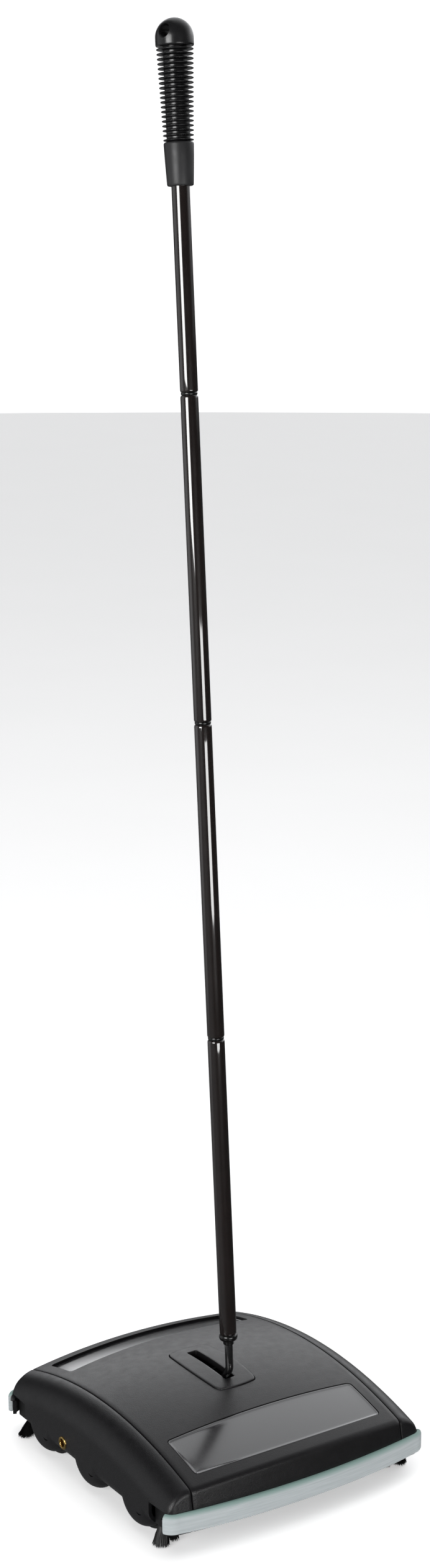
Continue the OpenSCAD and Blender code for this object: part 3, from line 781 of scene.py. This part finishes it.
def make_slot_plate():
    """Raised plate round the handle slot."""
    steps = (30, 30)
    outer = plate_outline()
    inner = []
    for x, y in rounded_rect(4.35, 27.5, 1.0, steps):
        inner.append((x, y + 1.5))
    rings = []
    for grow, lift in ((0.0, -2.6), (0.0, 0.35), (-0.12, 0.68), (-0.4, 0.85)):
        rings.append([(x * (1 + grow / 20), y * (1 + grow / 37), lift) for x, y in outer])
    rim = rings[-1]
    for k in range(1, 9):
        f = k / 9
        ring = []
        for a, b in zip(rim, inner):
            ring.append((a[0] + (b[0] - a[0]) * f, a[1] + (b[1] - a[1]) * f, 0.85))
        rings.append(ring)
    for grow, lift in ((0.45, 0.85), (0.12, 0.7), (0.0, 0.4), (0.0, -4.0)):
        ring = []
        for x, y in inner:
            away = 1 if y > 1.5 else -1
            ring.append((x * (1 + grow / 4.35), y + grow * away * 0.9, lift))
        rings.append(ring)
    verts = [(x, y, top_z(x, y) + lift) for ring in rings for x, y, lift in ring]
    n = len(outer)
    faces = ring_faces(n, len(rings))
    last = (len(rings) - 1) * n
    for j in range(n):
        faces.append((last + j, last + (j + 1) % n, (j + 1) % n, j))
    obj = add_object("handle_slot_plate", verts, faces)
    return finish_piece(obj, "cover_plastic", "housing", "slot_plate")


finish_piece(make_cover(), "cover_plastic", "housing", "top_cover")
for window in WINDOWS:
    make_window(window)
make_end(-1)
make_end(1)
make_slot_plate()


# ---- Bumpers ----
BUMPER_T = 3.6
BUMPER_SWELL = 1.4
BUMPER_WRAP = 63


def bumper_path():
    """Inner face of the rear bumper in plan: places, outward directions and thickness."""
    cy = face_q(CORNER_X) - CORNER_R
    out = []
    for k in range(13):
        a = math.radians(90 - BUMPER_WRAP + BUMPER_WRAP * k / 12)
        nx, ny = math.cos(a), math.sin(a)
        out.append((CORNER_X + CORNER_R * nx, cy + CORNER_R * ny, nx, ny, BUMPER_T))
    for k in range(1, 60):
        x = CORNER_X * (1 - k / 30)
        slope = -x / BOW_R
        n = math.hypot(1, slope)
        t = BUMPER_T + BUMPER_SWELL * (1 - abs(x / CORNER_X) ** 6)
        out.append((x, face_q(x), -slope / n, 1 / n, t))
    for k in range(13):
        a = math.radians(90 + BUMPER_WRAP * k / 12)
        nx, ny = math.cos(a), math.sin(a)
        out.append((-CORNER_X + CORNER_R * nx, cy + CORNER_R * ny, nx, ny, BUMPER_T))
    return out


def bumper_section(t, z0=19.0, z1=34.7):
    """Closed section as (outward, height): softly rounded outside, square inside."""
    r1, r0 = min(3.2, t - 0.3), min(2.2, t - 0.3)
    pts = [(0.05, z0 + 0.6), (0.5, z0)]
    for k in range(7):
        a = math.radians(-90 + 90 * k / 6)
        pts.append((t - r0 + r0 * math.cos(a), z0 + r0 + r0 * math.sin(a)))
    pts.append((t, (z0 + z1) / 2))
    for k in range(9):
        a = math.radians(90 * k / 8)
        pts.append((t - r1 + r1 * math.cos(a), z1 - r1 + r1 * math.sin(a)))
    pts += [(0.5, z1), (0.05, z1 - 0.35)]
    return pts


def make_bumper(name, side):
    """Soft bumper round the front or rear."""
    path = bumper_path()
    rings = []
    for x, y, nx, ny, t in path:
        rings.append([(x + nx * u, y + ny * u, z) for u, z in bumper_section(t)])
    for end, inner in ((0, 1), (-1, -2)):
        c = Vector(rings[end][0]).lerp(Vector(rings[end][10]), 0.5)
        c.z = 26.8
        away = (Vector(rings[end][0]) - Vector(rings[inner][0])).normalized()
        caps = []
        for shrink, out in ((0.96, 0.35), (0.82, 0.75), (0.55, 0.9)):
            caps.append([tuple(c + (Vector(p) - c) * shrink + away * out) for p in rings[end]])
        if end == 0:
            rings = caps[::-1] + rings
        else:
            rings = rings + caps
    verts = [(x, y * side, z) for ring in rings for x, y, z in ring]
    n = len(rings[0])
    faces = ring_faces(n, len(rings))
    faces.append(tuple(range(n)))
    last = (len(rings) - 1) * n
    faces.append(tuple(range(last, last + n)))
    obj = add_object(name + "_skin", verts, faces, 50)
    return finish_piece(obj, "bumper_vinyl", "housing", name)


make_bumper("front_bumper", -1)
make_bumper("rear_bumper", 1)


# ---- Corner brushes ----
def strand(root, tip, width, bend):
    """One bristle: a thin tapered three-sided strip, slightly bent."""
    root, tip = Vector(root), Vector(tip)
    axis = (tip - root).normalized()
    side = axis.orthogonal().normalized()
    other = axis.cross(side)
    verts = []
    for f, w in ((0.0, 1.0), (0.5, 0.95), (1.0, 0.6)):
        c = root.lerp(tip, f) + bend * (4 * f * (1 - f))
        for k in range(3):
            a = 2 * math.pi * k / 3
            verts.append(tuple(c + (side * math.cos(a) + other * math.sin(a)) * width * w))
    faces = ring_faces(3, 3) + [(2, 1, 0), (6, 7, 8)]
    return verts, faces


def make_tufts(corner, sx, sy, out, seed):
    """Bristles of one corner, fanning from the block to the floor."""
    rng = random.Random(seed)
    parts = []
    # Root, middle and spread of the tips, radius at the root, and number of bristles
    tufts = [
        ((109.0, 98.5, 15.9), (111.4, 99.4 + out * 0.7), (6.2, 6.3), 3.0, 620),
        ((102.0, 100.0, 15.9), (99.6, 98.2 + out * 0.3), (4.2, 4.0), 2.2, 260),
    ]
    for (rx, ry, rz), (tx, ty), (hx, hy), rr, count in tufts:
        for _ in range(count):
            a = rng.uniform(0, 2 * math.pi)
            d = math.sqrt(rng.random())
            root = (rx + rr * d * math.cos(a), ry + rr * d * math.sin(a), rz)
            tip = (
                tx + hx * d * math.cos(a) + rng.uniform(-0.7, 0.7),
                ty + hy * d * math.sin(a) + rng.uniform(-0.7, 0.7),
                0.7 + rng.random() * 1.6,
            )
            curve = Vector((rng.gauss(0, 0.35), rng.gauss(0, 0.35), 0))
            parts.append(strand(root, tip, 0.2, curve))
    verts, faces = join_geometry(parts)
    obj = add_object(corner + "_tufts", mirror_points(verts, sx, sy), faces, 80)
    return finish_piece(obj, "bristle_nylon", "housing", corner + "_bristles")


CORNERS = {
    "front_left": (-1, -1, 0.0), "front_right": (1, -1, 0.0),
    "rear_left": (-1, 1, 6.0), "rear_right": (1, 1, 6.0),
}
for seed, (corner, (sx, sy, out)) in enumerate(CORNERS.items()):
    make_tufts(corner, sx, sy, out, seed + 11)


# ---- Handle ----
TUBE_R = 6.65
SECTION = 244.1
ROD_R = 3.2
COLLAR_S = 880.8
PLUG_HALF = 26
PIVOT_Z = 46.5
YOKE_ARM = 15.5
YOKE_X = 89.5
YOKE_END_X = 95.6


def make_tubes():
    """Four painted tubes with rolled ends."""
    for k in range(1, 5):
        s0 = 5.5 if k == 1 else SECTION * (k - 1) + 1.2
        s1 = SECTION * k - 1.2
        profile = [(5.65, s0), (6.1, s0), (6.35, s0 + 0.15), (6.55, s0 + 0.55), (TUBE_R, s0 + 1.3)]
        profile += [(TUBE_R, s0 + 1.3 + (s1 - s0 - 3.3) * f / 6) for f in range(1, 6)]
        profile += [(TUBE_R, s1 - 2.0), (6.56, s1 - 1.2), (6.36, s1 - 0.6), (6.05, s1 - 0.15), (5.65, s1)]
        obj = lathe(f"tube_{k}", profile, along_handle, 96, 60)
        finish_piece(obj, "tube_paint", "handle", f"handle_tube_{k}")


def bead(s):
    """Rounded ring that shows between two tubes."""
    angles = [math.radians(-80 + 16 * k) for k in range(11)]
    return [(5.55 + 0.65 * math.cos(a), s + 1.25 * math.sin(a)) for a in angles]


def make_joints():
    """Plug and neck at each joint of the handle."""
    for k in range(1, 4):
        s = SECTION * k
        profile = [
            (0.01, s - PLUG_HALF), (4.8, s - PLUG_HALF), (5.5, s - 24.6), (5.6, s - 24), *bead(s),
            (5.6, s + 24), (5.5, s + 24.6), (4.8, s + PLUG_HALF), (0.01, s + PLUG_HALF),
        ]
        obj = lathe(f"joint_{k}", profile, along_handle, 64, 40, closed=False)
        finish_piece(obj, "joint_plastic", "handle", f"handle_joint_{k}")


def make_ferrule():
    """Bulged ferrule where the rod enters the lowest tube."""
    profile = [(3.25, -3.2), (3.9, -3.2), (4.2, -2.8), (4.25, -2.2), (4.25, 0.1), (4.6, 0.3), (6.0, 0.4)]
    for k in range(9):
        a = math.radians(-70 + 140 * k / 8)
        profile.append((5.6 + 1.7 * math.cos(a), 3.0 + 2.6 * math.sin(a)))
    profile += [(5.6, 5.5), (5.6, 30), (3.25, 30)]
    obj = lathe("ferrule", profile, along_handle, 72, 40)
    finish_piece(obj, "joint_plastic", "handle", "handle_ferrule")


def make_bail():
    """Bent rod and the yoke that carries it under the cover."""
    tilt = math.radians(36)
    out = Vector((0, -math.sin(tilt), math.cos(tilt)))
    pivot = Vector((0, 0, PIVOT_Z))
    bend = pivot + out * ((FOOT.z - 23.86 * math.cos(LEAN) - PIVOT_Z) / math.cos(tilt))
    arm = out * YOKE_ARM
    rod = fillet_path([pivot + arm, bend, FOOT + UP * 28], [0, 9.0, 0], 10)
    x = Vector((1, 0, 0))
    yoke = fillet_path(
        [pivot - x * YOKE_END_X, pivot - x * YOKE_X, pivot - x * YOKE_X + arm, pivot + x * YOKE_X + arm,
         pivot + x * YOKE_X, pivot + x * YOKE_END_X],
        [0, 3.0, 5.0, 5.0, 3.0, 0], 8)
    weld = [pivot + arm + x * d for d in (-5.2, -4.2, -2, 0, 2, 4.2, 5.2)]
    parts = [tube_geometry(rod, ROD_R, 40, 0.4), tube_geometry(yoke, 2.5, 24, 0.5),
             tube_geometry(weld, 3.6, 24, 1.2)]
    verts, faces = join_geometry(parts)
    obj = add_object("bail_rod", verts, faces, 50)
    finish_piece(obj, "rod_steel", "handle", "bail")


def make_collar():
    """Smooth tapered collar below the grip."""
    s = COLLAR_S
    profile = [
        (6.72, s), (8.6, s), (9.2, s + 0.15), (9.6, s + 0.6), (9.75, s + 1.4), (10.2, s + 10),
        (10.7, s + 21), (11.0, s + 29.4), (10.85, s + 30.3), (10.3, s + 30.8), (6.72, s + 30.8),
    ]
    obj = lathe("lower_collar", profile, along_handle, 80, 50)
    finish_piece(obj, "collar_plastic", "handle", "grip_collar")


def make_grip():
    """Ribbed sleeve with a domed end and a hanging hole."""
    s0 = COLLAR_S + 31
    ribs = 20
    pitch = 66.7 / ribs
    profile = [(6.72, s0), (8.6, s0)]
    for k in range(ribs):
        r = 11.1 + 2.4 * k / (ribs - 1)
        z = s0 + 0.5 + pitch * k
        profile += [
            (8.65, z - 0.3), (8.9, z - 0.05), (r - 0.7, z + 0.35), (r - 0.2, z + 0.45), (r, z + 0.7),
            (r, z + 1.0), (r - 0.2, z + 1.25), (r - 0.7, z + 1.35), (8.9, z + 1.75), (8.65, z + 2.0),
        ]
    base = COLLAR_S
    profile += [(8.6, base + 97.6), (12.9, base + 97.7), (13.55, base + 97.9), (13.85, base + 98.4),
                (13.93, base + 99.2)]
    for k in range(15):
        a = math.radians(88 * k / 14)
        profile.append((13.95 * math.cos(a), base + 104.2 + 13.7 * math.sin(a)))
    profile += [(0.01, base + 117.9), (0.01, base + 95.6), (6.72, base + 95.6)]
    obj = lathe("ribbed_grip", profile, along_handle, 96, 40)
    turn = math.radians(-68)
    face = Vector((math.sin(turn), 0, 0)) + FRONT * -math.cos(turn)
    centre = FOOT + UP * (base + 108.4)
    side = face.cross(UP).normalized()

    def across(u, v, s):
        p = centre + face * s + side * u + UP * v
        return (p.x, p.y, p.z)

    flare = [(0.01, -20), (6.4, -20), (6.4, -14.6), (5.2, -13.4), (4.5, -12.2), (4.3, -10.6), (4.3, 10.6),
             (4.5, 12.2), (5.2, 13.4), (6.4, 14.6), (6.4, 20), (0.01, 20)]
    cut(obj, [lathe("c", flare, across, 48)], 40)
    finish_piece(obj, "grip_plastic", "handle", "grip")


make_tubes()
make_joints()
make_ferrule()
make_bail()
make_collar()
make_grip()


# ---- Wheels, drums, rollers and eyelets ----
def make_eyelets():
    """Rolled brass eyelets."""
    for side, name in ((1, "right_brass_eyelet"), (-1, "left_brass_eyelet")):
        profile = [(3.0, 110), (3.0, 117.7), (3.15, 118.5), (3.5, 118.9), (4.1, 119.0), (4.8, 118.85),
                   (5.25, 118.4), (5.35, 117.9), (5.0, 117.6), (3.9, 117.6), (3.9, 110)]
        obj = lathe(name + "_rolled", profile, along_x(-EYELET_Y * side, EYELET_Z, side), 48, 60)
        finish_piece(obj, "brass", "housing", name)


BOX_FACES = [(0, 1, 3, 2), (4, 6, 7, 5), (0, 2, 6, 4), (1, 5, 7, 3), (0, 4, 5, 1), (2, 3, 7, 6)]


def make_wheels():
    """Moulded hubs with ribs, and tyres with a grooved tread."""
    for corner, (sx, sy, _) in CORNERS.items():
        y = sy * WHEEL_Y
        hub = [
            (3.06, 96.2), (22.6, 96.2), (23.3, 96.6), (23.6, 97.2), (23.6, 103.8), (23.3, 104.4),
            (22.6, 104.8), (21.0, 104.8), (20.6, 104.3), (20.6, 99.0), (8.6, 99.0), (8.0, 104.3),
            (7.6, 104.8), (3.06, 104.8),
        ]
        obj = lathe(corner + "_wheel_hub", hub, along_x(y, AXIS_Z, sx), 72, 35)
        parts = []
        for k in range(6):
            a = math.pi * k / 3
            u, v = math.cos(a), math.sin(a)
            corners = []
            for r in (7.9, 20.8):
                for w in (-0.9, 0.9):
                    for x in (98.8, 103.0):
                        corners.append((sx * x, y + u * r - v * w, AXIS_Z + v * r + u * w))
            parts.append((corners, BOX_FACES))
        ribs = add_object(corner + "_wheel_ribs", *join_geometry(parts))
        bevel(ribs, 0.3)
        finish_piece(obj, "wheel_plastic", corner + "_wheel", corner + "_hub")
        finish_piece(ribs, "wheel_plastic", corner + "_wheel")
        tread = [(23.65, 96.3), (25.4, 96.2), (26.2, 96.5), (26.6, 97.2)]
        for g in (98.4, 100.3, 102.2):
            tread += [(26.6, g - 0.1), (26.0, g + 0.1), (26.0, g + 0.4), (26.6, g + 0.6)]
        tread += [(26.6, 103.8), (26.2, 104.5), (25.4, 104.8), (23.65, 104.7)]
        obj = lathe(corner + "_tread", tread, along_x(y, AXIS_Z, sx), 96, 35)
        finish_piece(obj, "tyre_rubber", corner + "_wheel", corner + "_tyre")


make_eyelets()
make_wheels()

# ---- CAD nodes that keep their own shape ----
KEEP = {
    "block_plastic": [c + "_brush_block" for c in CORNERS],
    "plate_steel": ["left_bearing_plate", "right_bearing_plate", "cross_braces"],
    "pin_steel": ["wheel_axles", "roller_pins", "front_pan_hinge_rod", "rear_pan_hinge_rod",
                  "housing_screws", "rotor_shaft"],
    "spring_steel": ["pan_springs"],
    "brass": ["rotor_bushes"],
    "pan_steel": ["front_dust_pan", "rear_dust_pan"],
    "wheel_plastic": ["rotor_core", "left_friction_drum", "right_friction_drum"],
    "blade_rubber": [f"rotor_blade_{k}" for k in range(1, 5)],
    "roller_rubber": ["left_roller", "right_roller"],
}
for slot, names in KEEP.items():
    for name in names:
        obj = NODES[name]
        obj.data.materials.clear()
        obj.data.materials.append(MAT[slot])
        if name != "pan_springs":
            bevel(obj, 0.4, 2, 50)

# ---- Studio, in metres ----
FLOOR_R = 11.0
WALL_BEND = 3.0
AZIMUTH = math.radians(-33.80)
ELEVATION = math.radians(12.89)
AIM_RIGHT = 0.00272
AIM_Z = 0.5473
CAMERA_REACH = 1.8443
LENS = 56.41
SOFTBOX, SIDEBOX, GROUND, SURROUND = 1.9, 0.45, 0.12, 0.035


def studio_surface(name, rings):
    """Pale matt surface of revolution for the studio; rings are (radius, height) in metres."""
    verts, n = [], 96
    for r, z in rings:
        for k in range(n):
            a = 2 * math.pi * k / n
            verts.append((r * 1000 * math.cos(a), r * 1000 * math.sin(a), z * 1000))
    obj = add_object(name, verts, ring_faces(n, len(rings)), 60)
    obj.visible_glossy = False
    return obj


def studio_white(name, glow):
    """Pale matt finish that gives off a little light of its own."""
    mat, tree, bsdf = new_material(name)
    pale = [(0.3, (0.86, 0.86, 0.86)), (0.7, (0.88, 0.88, 0.88))]
    tree.links.new(ramp(tree, noise(tree, coords(tree), 3.0), pale), bsdf.inputs["Base Color"])
    bsdf.inputs["Roughness"].default_value = 0.9
    bsdf.inputs["Specular IOR Level"].default_value = 0.1
    bsdf.inputs["Emission Color"].default_value = (1.0, 1.0, 1.0, 1.0)
    bsdf.inputs["Emission Strength"].default_value = glow
    return mat


def make_floor():
    """Pale floor, and a pale surround beyond it that lights nothing."""
    floor = studio_surface("studio_floor", [(0.001, 0.0), (2.0, 0.0), (6.0, 0.0), (FLOOR_R, 0.0)])
    wall = []
    for k in range(13):
        a = math.pi * k / 24
        wall.append((FLOOR_R + WALL_BEND * math.sin(a), WALL_BEND * (1 - math.cos(a))))
    wall += [(14.0, 8.0), (12.0, 13.0), (8.0, 17.0), (0.001, 19.0)]
    surround = studio_surface("studio_surround", wall)
    surround.visible_diffuse = False
    surround.visible_shadow = False
    floor.data.materials.append(studio_white("studio_floor", 0.45))
    surround.data.materials.append(studio_white("studio_surround", 1.0))


def area_light(name, place, target, size, power):
    """Soft rectangular light facing a point."""
    data = bpy.data.lights.new(name, "AREA")
    data.shape = "RECTANGLE"
    data.size, data.size_y = size
    data.energy = power
    obj = bpy.data.objects.new(name, data)
    obj.location = place
    obj.rotation_euler = (Vector(target) - Vector(place)).to_track_quat("-Z", "Y").to_euler()
    obj.visible_camera = False
    bpy.context.scene.collection.objects.link(obj)
    return obj


def make_camera():
    """Camera on the front left, looking at the middle of the sweeper's height."""
    back = Vector((
        math.sin(AZIMUTH) * math.cos(ELEVATION),
        -math.cos(AZIMUTH) * math.cos(ELEVATION),
        math.sin(ELEVATION),
    ))
    right = Vector((math.cos(AZIMUTH), math.sin(AZIMUTH), 0))
    target = right * AIM_RIGHT + Vector((0, 0, AIM_Z))
    data = bpy.data.cameras.new("camera")
    data.sensor_fit = "VERTICAL"
    data.sensor_height = 36.0
    data.lens = LENS
    data.clip_start = 0.05
    obj = bpy.data.objects.new("camera", data)
    obj.location = target + back * CAMERA_REACH
    obj.rotation_euler = (-back).to_track_quat("-Z", "Y").to_euler()
    bpy.context.scene.collection.objects.link(obj)
    bpy.context.scene.camera = obj


def world_light():
    """Dark studio with soft lights behind, broad on the right and small on the left, and a ground glow."""
    world = bpy.data.worlds.new("studio")
    bpy.context.scene.world = world
    world.use_nodes = True
    tree = world.node_tree
    ray = tree.nodes.new("ShaderNodeTexCoord").outputs["Generated"]

    def math_node(kind, a, b):
        node = tree.nodes.new("ShaderNodeMath")
        node.operation = kind
        for k, value in enumerate((a, b)):
            if isinstance(value, float):
                node.inputs[k].default_value = value
            else:
                tree.links.new(value, node.inputs[k])
        return node.outputs["Value"]

    def toward(direction, low, high):
        """0 to 1 as the ray turns toward a direction."""
        dot = tree.nodes.new("ShaderNodeVectorMath")
        dot.operation = "DOT_PRODUCT"
        tree.links.new(ray, dot.inputs[0])
        dot.inputs[1].default_value = direction
        fade = tree.nodes.new("ShaderNodeMapRange")
        fade.interpolation_type = "SMOOTHSTEP"
        fade.inputs["From Min"].default_value = low
        fade.inputs["From Max"].default_value = high
        tree.links.new(dot.outputs["Value"], fade.inputs["Value"])
        return fade.outputs["Result"]

    up, down = (0, 0, 1), (0, 0, -1)
    right, rear_right = (0.978, -0.208, 0.0), (0.556, 0.831, 0.0)
    rear_left, low_left = (-0.6, 0.8, 0.0), (-0.74, 0.64, 0.17)
    box = math_node("MULTIPLY", toward(right, -0.14, 0.10), toward(up, 0.0, 0.22))
    box = math_node("MULTIPLY", box, toward(rear_right, -0.3, 0.75))
    # The softbox dims by 45 % overhead
    high = math_node("SUBTRACT", 1.0, math_node("MULTIPLY", toward(up, 0.3, 0.56), 0.45))
    box = math_node("MULTIPLY", box, high)
    side = toward(low_left, 0.80, 0.96)
    ground = math_node("MULTIPLY", toward(down, 0.0, 0.15), toward(rear_left, -0.6, 0.5))
    total = math_node("ADD", math_node("MULTIPLY", box, SOFTBOX), math_node("MULTIPLY", side, SIDEBOX))
    total = math_node("ADD", total, math_node("MULTIPLY", ground, GROUND))
    total = math_node("ADD", total, SURROUND)
    background = tree.nodes["Background"]
    background.inputs["Color"].default_value = (0.97, 0.98, 1.0, 1)
    tree.links.new(total, background.inputs["Strength"])


make_floor()
make_camera()
world_light()
area_light("overhead", (-0.2, -0.3, 3.2), (0, 0, 0), (3.0, 3.0), 44).visible_glossy = False
area_light("front_box", (-0.20, -2.59, 0.32), (0, 0, 0.32), (1.55, 0.54), 18)
area_light("left_box", (-2.41, -0.94, 1.16), (0, 0, 1.16), (1.45, 1.1), 44)
bpy.context.scene.view_settings.view_transform = "Standard"
